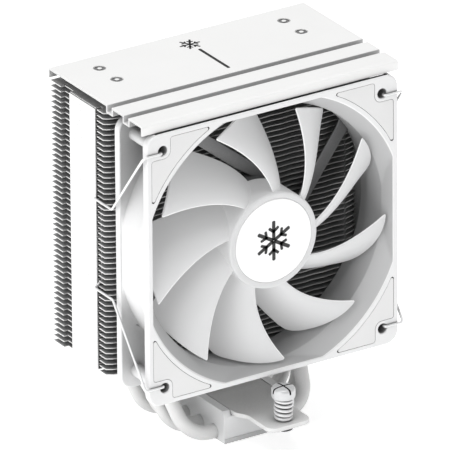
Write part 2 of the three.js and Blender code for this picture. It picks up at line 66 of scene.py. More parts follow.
fan_low, fan_high = extent("fan_frame")
FAN_FRONT = fan_low.y
FAN_DEPTH = fan_high.y - fan_low.y
FAN_HALF = (fan_high.x - fan_low.x) / 2
FAN_Z = (fan_low.z + fan_high.z) / 2
HOLE_AT = 0.875 * FAN_HALF             # the mounting holes' distance from the fan's centre lines

fin_low, fin_high = extent("fin_stack")
cover_low, cover_high = extent("top_cover")
block_low, block_high = extent("base_block")
bar_low, bar_high = extent("mounting_bar")
screw_low, screw_high = extent("spring_screw_front")
SCREW_Y = -(screw_low.y + screw_high.y) / 2


def fan_point(x, z, depth):
    """A point from its place right of, above and behind the centre of the fan's front face."""
    return Vector((x, FAN_FRONT + depth, FAN_Z + z))


# ------------------------------------------------------------------ mesh building

class Shell:
    """Points and faces of a mesh, in millimetres. Each face has a material number."""

    def __init__(self):
        self.points = []
        self.faces = []
        self.tints = []

    def add(self, points, faces, tint=0):
        """Adds points, and faces that count from the first of them."""
        start = len(self.points)
        self.points.extend(Vector(p) for p in points)
        self.faces.extend([start + i for i in face] for face in faces)
        self.tints.extend([tint] * len(faces))
        return self

    def loft(self, rings, closed=False, tint=0):
        """Joins rings of equal length. Open lofts get a cap at each end."""
        count = len(rings[0])
        total = len(rings)
        faces = []
        for i in range(total if closed else total - 1):
            a, b = i * count, ((i + 1) % total) * count
            for k in range(count):
                n = (k + 1) % count
                faces.append([a + k, a + n, b + n, b + k])
        if not closed:
            faces.append(list(range(count))[::-1])
            faces.append([(total - 1) * count + k for k in range(count)])
        return self.add([p for ring in rings for p in ring], faces, tint)

    def turned(self, profile, place, count=48, closed=False):
        """A solid of revolution from (radius, height) points; place maps x, y and height."""
        rings = []
        for radius, height in profile:
            angles = [TURN * k / count for k in range(count)]
            rings.append([place(radius * math.cos(a), radius * math.sin(a), height)
                          for a in angles])
        return self.loft(rings, closed)

    def prism(self, outline, low, high, place, tint=0):
        """An outline raised from low to high; place maps its two coordinates and the height."""
        return self.loft([[place(x, y, h) for x, y in outline] for h in (low, high)], False, tint)

    def block(self, low, high, tint=0):
        """A box between its lowest and its highest corner."""
        corners = [(low[0], low[1]), (high[0], low[1]), (high[0], high[1]), (low[0], high[1])]
        return self.prism(corners, low[2], high[2], lambda x, y, z: (x, y, z), tint)

    def tube(self, path, wide, high=None, sides=12, up=(0, 0, 1)):
        """A bar along a path, wide and high from its middle. It twists as little as it can."""
        high = high or wide
        across = None
        rings = []
        for i, point in enumerate(path):
            ahead = path[min(i + 1, len(path) - 1)] - path[max(i - 1, 0)]
            ahead.normalize()
            guess = across if across is not None else Vector(up).cross(ahead)
            if guess.length < 1e-6:
                guess = Vector((1, 0, 0))
            across = (guess - ahead * guess.dot(ahead)).normalized()
            rise = ahead.cross(across)
            angles = [TURN * k / sides for k in range(sides)]
            rings.append([point + across * wide * math.cos(a) + rise * high * math.sin(a)
                          for a in angles])
        return self.loft(rings)


def upright(x, y, z):
    """Maps an outline seen from above, raised along Z."""
    return Vector((x, y, z))


def lengthways(y, z, x):
    """Maps an outline drawn in Y and Z, raised along X."""
    return Vector((x, y, z))


def facing(x, z, depth):
    """Maps an outline drawn on the fan's face, raised into its depth."""
    return fan_point(x, z, depth)


def make(name, shell, *looks):
    """A mesh object from a shell, with its faces turned outwards."""
    mesh = bpy.data.meshes.new(name)
    mesh.from_pydata([p * MM for p in shell.points], [], shell.faces)
    for look in looks:
        mesh.materials.append(look)
    mesh.polygons.foreach_set("material_index", shell.tints)
    grown = bmesh.new()
    grown.from_mesh(mesh)
    bmesh.ops.recalc_face_normals(grown, faces=grown.faces)
    grown.to_mesh(mesh)
    grown.free()
    piece = bpy.data.objects.new(name, mesh)
    bpy.context.scene.collection.objects.link(piece)
    return piece


def settle(piece):
    """Applies a piece's modifiers to its mesh."""
    depsgraph = bpy.context.evaluated_depsgraph_get()
    depsgraph.update()
    mesh = bpy.data.meshes.new_from_object(piece.evaluated_get(depsgraph))
    piece.modifiers.clear()
    piece.data = mesh
    return piece


def carve(piece, shell, operation="DIFFERENCE"):
    """Cuts a shell's closed solids out of a piece, or joins them to it."""
    tool = make("tool", shell)
    cut = piece.modifiers.new("cut", "BOOLEAN")
    cut.operation = operation
    cut.solver = "EXACT"
    cut.object = tool
    settle(piece)
    bpy.data.objects.remove(tool)
    return piece


def tint_where(piece, number, test):
    """Gives a material number to the faces whose centre, in millimetres, and normal pass a test."""
    for face in piece.data.polygons:
        if test(face.center / MM, face.normal):
            face.material_index = number


def soften(piece, width, segments=2, angle=32):
    """Rounds a piece's sharp edges."""
    edge = piece.modifiers.new("edge", "BEVEL")
    edge.width = width * MM
    edge.segments = segments
    edge.limit_method = "ANGLE"
    edge.angle_limit = math.radians(angle)
    edge.use_clamp_overlap = True
    return settle(piece)


def shade(piece, angle=38):
    """Smooth shading that keeps flat faces flat and sharp edges sharp."""
    piece.data.shade_smooth()
    piece.data.set_sharp_from_angle(angle=math.radians(angle))
    flat = piece.modifiers.new("flat", "WEIGHTED_NORMAL")
    flat.keep_sharp = True
    return settle(piece)


def place(piece, body, slot, *replaced):
    """Fixes a piece to its body, hiding the CAD nodes it stands in for. The slot is not used."""
    if replaced:
        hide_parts(*replaced)
    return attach(piece, body)


# ------------------------------------------------------------------ outlines

def rounded(corners, radii, steps=5):
    """A closed outline whose corners are rounded; radii is one number or one per corner."""
    if not isinstance(radii, (list, tuple)):
        radii = [radii] * len(corners)
    points = []
    for i, corner in enumerate(corners):
        here = Vector(corner)
        before = Vector(corners[i - 1]) - here
        after = Vector(corners[(i + 1) % len(corners)]) - here
        points.extend(bend(here, before, after, radii[i], steps))
    return [tuple(p) for p in points]


def bend(corner, before, after, radius, steps):
    """The arc that rounds a corner between two directions, in two or three dimensions."""
    gap = before.angle(after)
    if radius <= 0 or gap > math.pi - 1e-3:
        return [corner]
    reach = radius / math.tan(gap / 2)
    reach = min(reach, 0.49 * before.length, 0.49 * after.length)
    radius = reach * math.tan(gap / 2)
    before = before.normalized()
    after = after.normalized()
    centre = corner + (before + after).normalized() * radius / math.sin(gap / 2)
    start = corner + before * reach - centre
    end = corner + after * reach - centre
    turn = math.pi - gap
    shares = [(math.sin(turn * (1 - k / steps)), math.sin(turn * k / steps))
              for k in range(steps + 1)]
    return [centre + (start * a + end * b) / math.sin(turn) for a, b in shares]


def route(corners, radii, steps=8):
    """An open path through corners in space, rounded at each inner corner."""
    corners = [Vector(c) for c in corners]
    path = [corners[0]]
    for i in range(1, len(corners) - 1):
        before = corners[i - 1] - corners[i]
        after = corners[i + 1] - corners[i]
        path.extend(bend(corners[i], before, after, radii[i - 1], steps))
    path.append(corners[-1])
    return path


def circle(cx, cy, radius, count):
    return [(cx + radius * math.cos(TURN * k / count), cy + radius * math.sin(TURN * k / count))
            for k in range(count)]


def mix(a, b, t):
    """From a to b as t goes from 0 to 1, and no further."""
    return a + (b - a) * min(max(t, 0), 1)


def middle(values):
    return (min(values) + max(values)) / 2


# ------------------------------------------------------------------ materials

DRIFT_SIZE = 22                        # how far apart lighter and darker patches lie
CORNER_SHADE_REACH = 30                      # how near walls have to be for a corner to get painted shade
SCATTER = 4                            # how far light spreads in thin plastic


def look(name, colour, roughness, metal=0.0, grain=0.5, relief=0.02, drift=0.03,
         stretch=(1, 1, 1), coat=0.0, glow=0.0, level=0.5, cavity=0.7, lit=0.0):
    """A moulded, painted or machined surface: slow colour drift, uneven gloss and fine relief.

    grain is the relief's size and relief its depth, both in millimetres; stretch pulls the
    grain out along an axis; glow lets light pass into thin plastic. cavity is the share of the
    colour that is lost to painted shade in closed corners. lit is light the surface gives off:
    an even glow on the floor, and painted light on the blades.
    """
    material = bpy.data.materials.new(name)
    material.use_nodes = True
    tree = material.node_tree
    surface = tree.nodes["Principled BSDF"]
    settings = {
        "Metallic": metal,
        "Coat Weight": coat,
        "Coat Roughness": 0.2,
        "Specular IOR Level": level,
        "Subsurface Weight": glow,
        "Subsurface Radius": (SCATTER * MM, SCATTER * MM, SCATTER * MM),
        "Subsurface Scale": 1.0,
        "Emission Color": (1, 1, 1, 1),
        "Emission Strength": lit,
    }
    for socket, value in settings.items():
        surface.inputs[socket].default_value = value
    where = tree.nodes.new("ShaderNodeTexCoord").outputs["Object"]
    paint = drifting_colour(tree, where, colour, drift)
    # painted shade: the colour darkens in closed corners
    if cavity:
        paint = painted_corner_shade(tree, paint, cavity)
    tree.links.new(paint, surface.inputs["Base Color"])
    add_relief(tree, where, surface, roughness, grain, relief, stretch)
    return material


def drifting_colour(tree, where, colour, drift):
    """A colour that turns slightly darker and lighter across the piece."""
    slow = tree.nodes.new("ShaderNodeTexNoise")
    slow.inputs["Scale"].default_value = 1 / (DRIFT_SIZE * MM)
    slow.inputs["Detail"].default_value = 3
    tree.links.new(where, slow.inputs["Vector"])
    tint = tree.nodes.new("ShaderNodeValToRGB")
    dark, light = tint.color_ramp.elements
    dark.color = (*[c * (1 - drift) for c in colour], 1)
    dark.position = 0.3
    light.color = (*colour, 1)
    light.position = 0.6
    tree.links.new(slow.outputs["Fac"], tint.inputs["Fac"])
    return tint.outputs["Color"]


def painted_corner_shade(tree, paint, cavity):
    """A colour that loses a share of itself where the surface is closed in: painted shade in
    corners.
    """
    open_air = tree.nodes.new("ShaderNodeAmbientOcclusion")
    open_air.samples = 8
    open_air.inputs["Distance"].default_value = CORNER_SHADE_REACH * MM
    kept = tree.nodes.new("ShaderNodeMapRange")
    kept.inputs["From Min"].default_value = 0.15
    kept.inputs["From Max"].default_value = 0.9
    kept.inputs["To Min"].default_value = 1 - cavity
    tree.links.new(open_air.outputs["AO"], kept.inputs["Value"])
    deepened = tree.nodes.new("ShaderNodeVectorMath")
    deepened.operation = "SCALE"
    tree.links.new(paint, deepened.inputs[0])
    tree.links.new(kept.outputs["Result"], deepened.inputs["Scale"])
    return deepened.outputs["Vector"]


def add_relief(tree, where, surface, roughness, grain, relief, stretch):
    """Fine grain in a surface's gloss and height."""
    turned = tree.nodes.new("ShaderNodeMapping")
    turned.inputs["Scale"].default_value = stretch
    tree.links.new(where, turned.inputs["Vector"])
    fine = tree.nodes.new("ShaderNodeTexNoise")
    fine.inputs["Scale"].default_value = 1 / (grain * MM)
    fine.inputs["Detail"].default_value = 2
    tree.links.new(turned.outputs["Vector"], fine.inputs["Vector"])
    gloss = tree.nodes.new("ShaderNodeMapRange")
    gloss.inputs["To Min"].default_value = max(roughness - 0.06, 0.02)
    gloss.inputs["To Max"].default_value = min(roughness + 0.08, 1)
    tree.links.new(fine.outputs["Fac"], gloss.inputs["Value"])
    tree.links.new(gloss.outputs["Result"], surface.inputs["Roughness"])
    bump = tree.nodes.new("ShaderNodeBump")
    bump.inputs["Strength"].default_value = 0.5
    bump.inputs["Distance"].default_value = relief * MM
    tree.links.new(fine.outputs["Fac"], bump.inputs["Height"])
    tree.links.new(bump.outputs["Normal"], surface.inputs["Normal"])


PAINT = look("white_paint", (0.86, 0.86, 0.855), 0.42, grain=0.6, relief=0.015)
PIPE = look("pipe_paint", (0.88, 0.88, 0.875), 0.42, grain=0.6, relief=0.015, cavity=0.4)
COVER = look("cover_paint", (0.9, 0.9, 0.895), 0.38, grain=0.5, relief=0.012, drift=0.015)
# Near-black painted shade for sunken rings and narrow gaps.
RECESS_SHADE = look("recess_shade", (0.24, 0.24, 0.242), 0.6, grain=0.5, relief=0.01, drift=0.08)
# Painted shade for the walls and floors of the cover's grooves.
GROOVE_SHADE = look("groove_shade", (0.68, 0.68, 0.682), 0.5, grain=0.5, relief=0.01, drift=0.05,
              cavity=0.4)
# The fins' edges keep the white paint; their broad faces get a darker copy of it, painted shade
# between the plates.
FIN_EDGE = look("fin_edge_paint", (0.88, 0.88, 0.875), 0.45, grain=0.4, relief=0.01)
FIN_FACE_SHADE = look("fin_face_shade", (0.744, 0.746, 0.75), 0.5, grain=0.9, relief=0.01, drift=0.1)
HOUSING = look("frame_plastic", (0.826, 0.828, 0.831), 0.48, grain=0.35, relief=0.012)
# A darker copy of the frame's plastic: painted shade on the duct's inner wall.
DUCT_SHADE = look("frame_plastic_duct_shade", (0.49, 0.492, 0.495), 0.48, grain=0.35, relief=0.012,
            cavity=0.2)
# A darker copy of the frame's plastic: painted shade on the motor cup and struts behind the blades.
SHADED = look("frame_plastic_rear_shade", (0.45, 0.452, 0.455), 0.5, grain=0.35, relief=0.012,
              drift=0.1)
# The blades' plastic gives off a little light: painted light that evens out their shading.
BLADE = look("blade_plastic", (0.5, 0.503, 0.507), 0.4, grain=2.2, relief=0.015, glow=0.2,
             cavity=0, lit=0.2)
# A lighter copy of the blades' plastic: a painted highlight along their leading edges.
BLADE_EDGE_HIGHLIGHT = look("blade_edge_highlight", (0.89, 0.893, 0.896), 0.35, grain=0.5, relief=0.01, cavity=0)
DISC = look("hub_disc", (0.99, 0.99, 0.99), 0.3, grain=0.8, relief=0.001, drift=0.004, coat=0.2,
            cavity=0)
PAD = look("pad_rubber", (0.788, 0.788, 0.788), 0.72, grain=0.25, relief=0.02)
# Black print for the marks; the same black is painted shade in the screws' slots and on the shank
# inside the spring.
INK_AND_SHADE = look("mark_ink_and_shade", (0.02, 0.02, 0.02), 0.5, grain=0.3, relief=0.004)
WIRE = look("coated_wire", (0.86, 0.862, 0.866), 0.3, metal=0.15, grain=0.5, relief=0.01,
            coat=0.2)
SCREW = look("screw_metal", (0.66, 0.665, 0.67), 0.32, metal=0.3, grain=0.3, relief=0.008)
BLOCK = look("machined_block", (0.84, 0.845, 0.85), 0.4, metal=0.25, grain=0.35, relief=0.012,
             stretch=(0.04, 1, 1), cavity=0.3)
LAPPED = look("lapped_face", (0.93, 0.933, 0.935), 0.32, metal=0.15, grain=0.3, relief=0.01,
              stretch=(0.03, 1, 1))
STEEL = look("plain_steel", (0.5, 0.51, 0.52), 0.34, metal=0.9, grain=0.3, relief=0.01)
DARK_STEEL = look("dark_steel", (0.06, 0.06, 0.062), 0.4, metal=0.7, grain=0.3, relief=0.01)
BRASS = look("bearing_brass", (0.62, 0.44, 0.17), 0.35, metal=0.95, grain=0.3, relief=0.01)
COPPER = look("coil_copper", (0.5, 0.19, 0.07), 0.3, metal=0.8, grain=0.3, relief=0.06,
              stretch=(1, 0.05, 1))
FERRITE = look("magnet_ferrite", (0.03, 0.03, 0.032), 0.7, grain=0.3, relief=0.03)
BOARD = look("board_green", (0.03, 0.16, 0.07), 0.4, grain=1.0, relief=0.02, drift=0.3)
FLOOR = look("floor", (0.97, 0.97, 0.97), 0.85, grain=3, relief=0.0, drift=0.01, level=0.1,
             cavity=0, lit=0.54)


# ------------------------------------------------------------------ base

PIPE_R = 3
PIPE_Z = 3.05                          # height of the pipes' axes in the base


def pipe_place(index):
    """Where a pipe crosses the base, and where its uprights stand in the fins."""
    name = f"heat_pipe_{index}"
    points = [v.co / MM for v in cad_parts[name].data.vertices]
    lowest = min(p.z for p in points)
    foot = [p for p in points if p.z < lowest + 0.2]
    head = [p for p in points if p.z > fin_low.z + 2 * PIPE_R and p.x > 0]
    base_y = middle([p.y for p in foot])
    return base_y, middle([p.x for p in head]), middle([p.y for p in head]), max(p.z for p in head)


PIPES = [pipe_place(i) for i in (1, 2, 3, 4)]


def base_block():
    front, back, top = block_low.y, block_high.y, block_high.z
    seam = 2.0                         # top of the lapped band around the foot
    step = 0.3
    half = [(back - 0.2, 0), (back, 0.2), (back, seam), (back - step, seam),
            (back - step, top - 3), (back - 1.6, top)]
    outline = half + [(front + back - y, z) for y, z in reversed(half)]
    shell = Shell().prism(outline, block_low.x, block_high.x, lengthways)
    block = make("base_block_body", shell, BLOCK, LAPPED)
    play = 0.3
    channel = bar_high.x + play
    tools = Shell().block((-channel, front - 1, bar_low.z - play), (channel, back + 1, top + 1))
    for base_y, *_ in PIPES:
        groove = circle(base_y, PIPE_Z, PIPE_R + 0.12, 32)
        tools.prism(groove, block_low.x - 1, block_high.x + 1, lengthways)
    carve(block, tools)
    tint_where(block, 0, lambda p, n: p.z >= seam)
    tint_where(block, 1, lambda p, n: p.z < seam)
    soften(block, 0.22)
    shade(block)
    return place(block, "heatsink", "block_metal", "base_block")


ELBOW_X = 29.5                         # where a pipe starts to rise beside the base
LEG_Z = 30                             # where it turns upright
RIGHT_SHIFT = {1: -1.5, 3: 2.4, 4: 2}  # how much further out a pipe's right leg stands


def heat_pipe(index):
    base_y, fin_x, fin_y, top = PIPES[index - 1]
    right = [(ELBOW_X, base_y, PIPE_Z), (fin_x, fin_y, LEG_Z), (fin_x, fin_y, top)]
    left = [(-x, y, z) for x, y, z in reversed(right)]
    shift = RIGHT_SHIFT.get(index, 0)
    right = [(x + shift, y, z) for x, y, z in right]
    path = route(left + right, [9.5, 12, 12, 9.5], 14)
    shell = Shell().tube(path, PIPE_R, sides=32, up=(0, 1, 0))
    pipe = make(f"pipe_{index}", shell, PIPE)
    shade(pipe, 50)
    return place(pipe, "heatsink", "pipe_paint", f"heat_pipe_{index}")


def bar_outline():
    """The bar seen from above: a plate with a narrower lug at each end."""
    half, lug, end = bar_high.x, 0.773 * bar_high.x, bar_high.y
    wide, neck = end - 22.5, end - 17.5
    corners = [(half, wide), (lug, neck), (lug, end), (-lug, end), (-lug, neck), (-half, wide)]
    radii = [4.5, 4.5, 4, 4, 4.5, 4.5]
    mirrored = [(-x, -y) for x, y in corners]
    return rounded(corners + mirrored, radii * 2, 8)


def mounting_bar():
    shell = Shell().prism(bar_outline(), bar_low.z, bar_high.z, upright)
    plate = make("bar_plate", shell, PAINT)
    holes = Shell()
    for y in (-SCREW_Y, SCREW_Y):
        holes.prism(circle(0, y, 2.4, 28), bar_low.z - 1, bar_high.z + 1, upright)
    carve(plate, holes)
    soften(plate, 0.35)
    shade(plate)
    return place(plate, "heatsink", "bar_paint", "mounting_bar")


def bar_screw(index):
    low, high = extent(f"bar_screw_{index}")
    x, y = (low.x + high.x) / 2, (low.y + high.y) / 2
    profile = [(1.4, low.z), (1.4, high.z - 1.6), (2.4, high.z - 1.6), (2.6, high.z - 1.4),
               (2.55, high.z - 0.7), (2.1, high.z - 0.15), (1.4, high.z)]
    shell = Shell().turned(profile, lambda a, b, h: upright(a + x, b + y, h), 28)
    screw = make(f"bar_screw_head_{index}", shell, STEEL)
    for angle in (0, TURN / 4):
        carve(screw, one_slot(x, y, high.z - 0.7, high.z + 1, 0.3, 1.5, angle))
    shade(screw)
    return place(screw, "heatsink", "plain_steel", f"bar_screw_{index}")


def one_slot(x0, y0, under, top, half, reach, angle):
    """One straight slot over a screw's head."""
    c, s = math.cos(angle), math.sin(angle)
    corners = [(-reach, -half), (reach, -half), (reach, half), (-reach, half)]
    outline = [(x0 + x * c - w * s, y0 + x * s + w * c) for x, w in corners]
    return Shell().prism(outline, under, top, upright)


HEAD_TALL = 5
SHANK_R = 1.9
RING_SEAT = (11.05, 12.05)             # heights of the groove that holds the retaining ring
THREAD_FROM = 12.6
SLOT_DEEP = 2.4
SLOT_LEAN = math.radians(3)


def spring_screw(end, y):
    low, high = extent(f"spring_screw_{end}")
    under = high.z - HEAD_TALL
    seat_low, seat_high = RING_SEAT
    profile = [(SHANK_R - 0.4, low.z), (SHANK_R, low.z + 0.4), (SHANK_R, seat_low),
               (1.5, seat_low), (1.5, seat_high), (SHANK_R, seat_high)]
    threads = 14
    for k in range(threads):
        z = mix(THREAD_FROM, under - 0.4, k / threads)
        profile += [(SHANK_R, z), (SHANK_R - 0.25, z + 0.35)]
    head = [(4.5, 0), (4.8, 0.2), (4.95, 0.8), (5, 1.8), (4.98, 3.3), (4.85, 3.9), (4.55, 4.35),
            (4.1, 4.62), (3.4, 4.8), (2.4, 4.91), (1.2, 4.98), (0.2, 5)]
    profile += [(SHANK_R, under)] + [(r, under + h) for r, h in head]
    shell = Shell().turned(profile, lambda a, b, h: upright(a, b + y, h), 64)
    screw = make(f"screw_{end}_body", shell, SCREW, INK_AND_SHADE)
    floor = high.z - SLOT_DEEP
    for angle in (SLOT_LEAN, SLOT_LEAN + TURN / 4):
        carve(screw, one_slot(0, y, floor, high.z + 1, 0.4, 6, angle))
    # painted shade in the slots and on the shank inside the spring
    tint_where(screw, 1, lambda p, n: in_slot(p, n, y, floor) or in_coil(p, y, under))
    shade(screw)
    return place(screw, f"screw_{end}", "white_steel", f"spring_screw_{end}")


def in_slot(point, normal, y, floor):
    """The walls and floor of the slots in a screw's head, which get painted shade."""
    bottom = abs(normal.z) > 0.95 and abs(point.z - floor) < 0.05
    wall = abs(normal.z) < 0.05 and point.z > floor
    return bottom or wall and math.hypot(point.x, point.y - y) < 4.6


def in_coil(point, y, under):
    """The shank inside the coil spring, which gets painted shade."""
    return bar_high.z < point.z < under and math.hypot(point.x, point.y - y) < 2.2


def screw_spring(end, y):
    """A coil of flattened wire between the bar and the screw's head."""
    low, high = extent(f"screw_spring_{end}")
    wide, tall = 0.72, 0.8
    mean = (high.x - low.x) / 2 - wide
    turns = 4.6
    seated = 0.06                      # share of the wire that lies flat at each end
    steps = 190
    path = []
    for k in range(steps + 1):
        t = k / steps
        angle = -TURN * (turns * t + 0.1)
        z = mix(low.z + tall, high.z - tall, (t - seated) / (1 - 2 * seated))
        path.append(Vector((mean * math.cos(angle), y + mean * math.sin(angle), z)))
    shell = Shell().tube(path, wide, tall, sides=14, up=(0, 0, 1))
    coil = make(f"spring_{end}_coil", shell, WIRE)
    shade(coil, 60)
    place(coil, "heatsink", "white_steel", f"screw_spring_{end}")
    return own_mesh(coil)


def retaining_ring(end, y):
    """An open ring in the screw's groove, drawn a little thicker than the CAD's."""
    low, high = extent(f"retaining_ring_{end}")
    extra = 1
    outer, inner, mouth = 4, 1.95, 0.6
    steps = 36
    angles = [mix(mouth, TURN - mouth, k / steps) for k in range(steps + 1)]
    arcs = [[(r * math.cos(a), y + r * math.sin(a)) for a in angles] for r in (outer, inner)]
    outline = arcs[0] + arcs[1][::-1]
    shell = Shell().prism(outline, low.z - extra, high.z, upright)
    ring = make(f"ring_{end}", shell, DARK_STEEL)
    soften(ring, 0.08)
    shade(ring)
    return place(ring, f"screw_carrier_{end}", "plain_steel", f"retaining_ring_{end}")


# ------------------------------------------------------------------ fins

FINS = 50
FIN_T = 0.4
TAB_Y = (3.4, 23.0)                    # folded tabs that close the sides of the stack
TAB_T = 0.5
NOTCH = (1.9, 2.9)                     # where the clips' notch starts, and how deep it is
RECESS_LONG, RECESS_DEEP = 6.5, 2      # the sides' recess behind the tabs
CORNER_TAB = (2.2, 9.4, 0.4)           # the right corner's tab: start, length and thickness


def fin_outline():
    """One plate seen from above: wavy front edge, chamfered corners, clip notch and recess."""
    edge = fin_high.x
    front, back = fin_low.y, fin_high.y
    teeth = 10
    flat = edge - 10                   # the front edge is wavy as far out as this
    notch, inset = NOTCH
    tab_front, tab_back = TAB_Y
    recess_back = tab_back + RECESS_LONG
    wave = []
    for k in range(2 * teeth):
        x = mix(-flat, flat, k / (2 * teeth))
        wave.append((x, front + (0.4 if k % 2 else 0)))
    right = [(flat, front), (edge - 6.5, front + 4.3), (edge - 2.5, front + 5.5),
             (edge, front + 7.1), (edge, notch), (edge - inset, notch),
             (edge - inset, tab_front), (edge - TAB_T, tab_front), (edge - TAB_T, tab_back),
             (edge - RECESS_DEEP, tab_back), (edge - RECESS_DEEP, recess_back),
             (edge, recess_back), (edge, back)]
    left = [(-x, y) for x, y in reversed(right[1:])]
    return wave + right + left


def fin_stack():
    """The plates, with a folded tab on each side and one on the right front corner."""
    outline = fin_outline()
    start_y, long, thick = CORNER_TAB
    corner = fin_low.y + start_y
    pitch = (fin_high.z - fin_low.z - FIN_T) / (FINS - 1)
    shell = Shell()
    count = len(outline)
    for k in range(FINS):
        z = fin_low.z + k * pitch
        start = len(shell.faces)
        shell.prism(outline, z, z + FIN_T, upright)
        # the faces between the plates get the painted shade; the stack's top and bottom keep the
        # paint
        shell.tints[start + count] = 0 if k == 0 else 1
        shell.tints[start + count + 1] = 0 if k == FINS - 1 else 1
        if k == FINS - 1:
            break
        for side in (-1, 1):
            x = sorted((side * (fin_high.x - TAB_T), side * fin_high.x))
            shell.block((x[0], TAB_Y[0], z), (x[1], TAB_Y[1], z + pitch - 0.05))
        # the corner tab gets the painted shade too
        shell.block((fin_high.x - thick, corner, z),
                    (fin_high.x, corner + long, z + pitch - 0.02), 1)
    fins = make("fins", shell, FIN_EDGE, FIN_FACE_SHADE)
    return place(fins, "heatsink", "fin_paint", "fin_stack")


# ------------------------------------------------------------------ cover

RIVETS = [extent(f"cover_rivet_{i}") for i in (1, 2, 3, 4)]
SHEET = 0.9
GROOVES = (cover_low.y + 10.5, cover_low.y + 23.1)
GROOVE_W = 3.3
GROOVE_FLOOR = cover_low.z + 0.5
RIVET_R = 2.5


def cover_section():
    """The folded sheet seen from its end, as an outline in Y and Z."""
    front, back, top, lip = cover_low.y, cover_high.y, cover_high.z, cover_low.z
    t = SHEET
    outer = [(front, lip, 0.1), (front, top, 1.0)]
    inner = [(front + t, lip, 0.1), (front + t, top - t, 0.3)]
    for y in GROOVES:
        far = y + GROOVE_W
        floor = GROOVE_FLOOR
        outer += [(y, top, 0.35), (y, floor + t, 0.2), (far, floor + t, 0.2), (far, top, 0.35)]
        inner += [(y - t, top - t, 0.15), (y - t, floor, 0.5), (far + t, floor, 0.5),
                  (far + t, top - t, 0.15)]
    outer += [(back, top, 1.0), (back, lip, 0.1)]
    inner += [(back - t, top - t, 0.3), (back - t, lip, 0.1)]
    corners = outer + inner[::-1]
    return rounded([(y, z) for y, z, _ in corners], [r for *_, r in corners], 4)


def in_groove(point, normal):
    """The inner walls and floors of the cover's two grooves, which get painted shade."""
    across = [point.y - y for y in GROOVES]
    between = any(-0.05 < a < GROOVE_W + 0.05 for a in across)
    return between and GROOVE_FLOOR + SHEET - 0.1 < point.z < cover_high.z - 0.4


def top_cover():
    shell = Shell().prism(cover_section(), cover_low.x, cover_high.x, lengthways)
    cover = make("cover_sheet", shell, COVER, GROOVE_SHADE)
    holes = Shell()
    for low, high in RIVETS:
        x, y = (low.x + high.x) / 2, (low.y + high.y) / 2
        hole = circle(x, y, RIVET_R + 0.15, 32)
        holes.prism(hole, cover_high.z - 2 * SHEET, cover_high.z + 1, upright)
    carve(cover, holes)
    # painted shade in the grooves
    tint_where(cover, 1, in_groove)
    soften(cover, 0.12, 1, 50)
    shade(cover, 30)
    return place(cover, "heatsink", "cover_paint", "top_cover")


def cover_rivet(index):
    """A push-in rivet: a pin, a flange under the sheet, and a face with a sunken ring."""
    low, high = RIVETS[index - 1]
    x, y = (low.x + high.x) / 2, (low.y + high.y) / 2
    under = cover_high.z - SHEET - 0.3
    face = high.z
    profile = [(1.6, low.z), (1.6, under - 0.8), (3.4, under - 0.8), (3.4, under),
               (RIVET_R, under), (RIVET_R, face - 0.12), (2.42, face - 0.03), (2.3, face - 0.1),
               (2.2, face - 0.45), (1.05, face - 0.45), (1.0, face - 0.1), (0.9, face)]
    shell = Shell().turned(profile, lambda a, b, h: upright(a + x, b + y, h), 40)
    rivet = make(f"rivet_{index}", shell, COVER, RECESS_SHADE)

    def sunken(point, normal):
        across = math.hypot(point.x - x, point.y - y)
        return point.z < face - 0.09 or 1.03 < across < 2.3

    # the sunken ring and the faces below the rivet's face get painted shade
    tint_where(rivet, 1, sunken)
    shade(rivet)
    return place(rivet, "heatsink", "cover_paint", f"cover_rivet_{index}")


# ------------------------------------------------------------------ marks

INK_LOW, INK_HIGH = 0.005, 0.03        # the ink lies this far above the surface


def six_arm_mark(shell, centre, across, up, size, low, high, normal):
    """A plain six-arm mark: three crossed bars with a small chevron on each arm."""
    centre, across, up, normal = (Vector(v) for v in (centre, across, up, normal))

    def to_place(x, y, h):
        return centre + across * x + up * y + normal * h

    def bar(start, end, half):
        line = (end - start).normalized() * half
        side = Vector((-line.y, line.x))
        corners = [start - line + side, start - line - side, end + line - side, end + line + side]
        shell.prism(rounded([tuple(c) for c in corners], 0.8 * half, 4), low, high, to_place)

    stroke = 0.1 * size
    for k in range(6):
        angle = TURN * (k + 0.5) / 6
        arm = Vector((math.cos(angle), math.sin(angle)))
        bar(arm * 0.12 * size, arm * size, stroke)
        for lean in (-1, 1):
            turn = angle + lean * TURN / 7
            barb = Vector((math.cos(turn), math.sin(turn)))
            bar(arm * 0.5 * size, arm * 0.5 * size + barb * 0.3 * size, 0.8 * stroke)


def hub_mark():
    shell = Shell()
    centre = fan_point(0, 0, 0)
    six_arm_mark(shell, centre, (1, 0, 0), (0, 0, 1), 8, INK_LOW, INK_HIGH + 0.005, (0, -1, 0))
    mark = make("hub_mark", shell, INK_AND_SHADE)
    return place(mark, "impeller", "hub_plastic")


def cover_mark():
    centre = Vector((-0.8, cover_high.y - 11.8, cover_high.z))
    shell = Shell()
    six_arm_mark(shell, centre, (0, -1, 0), (1, 0, 0), 4.4, INK_LOW, INK_HIGH, (0, 0, 1))
    start, end = centre.y - 6, centre.y - 29
    dash = [(-0.9, end), (0.5, end), (0.5, start), (-0.9, start)]
    shell.prism(rounded(dash, 0.6), cover_high.z + INK_LOW, cover_high.z + INK_HIGH, upright)
    mark = make("cover_mark", shell, INK_AND_SHADE)
    return place(mark, "heatsink", "cover_paint")


# ------------------------------------------------------------------ fan housing

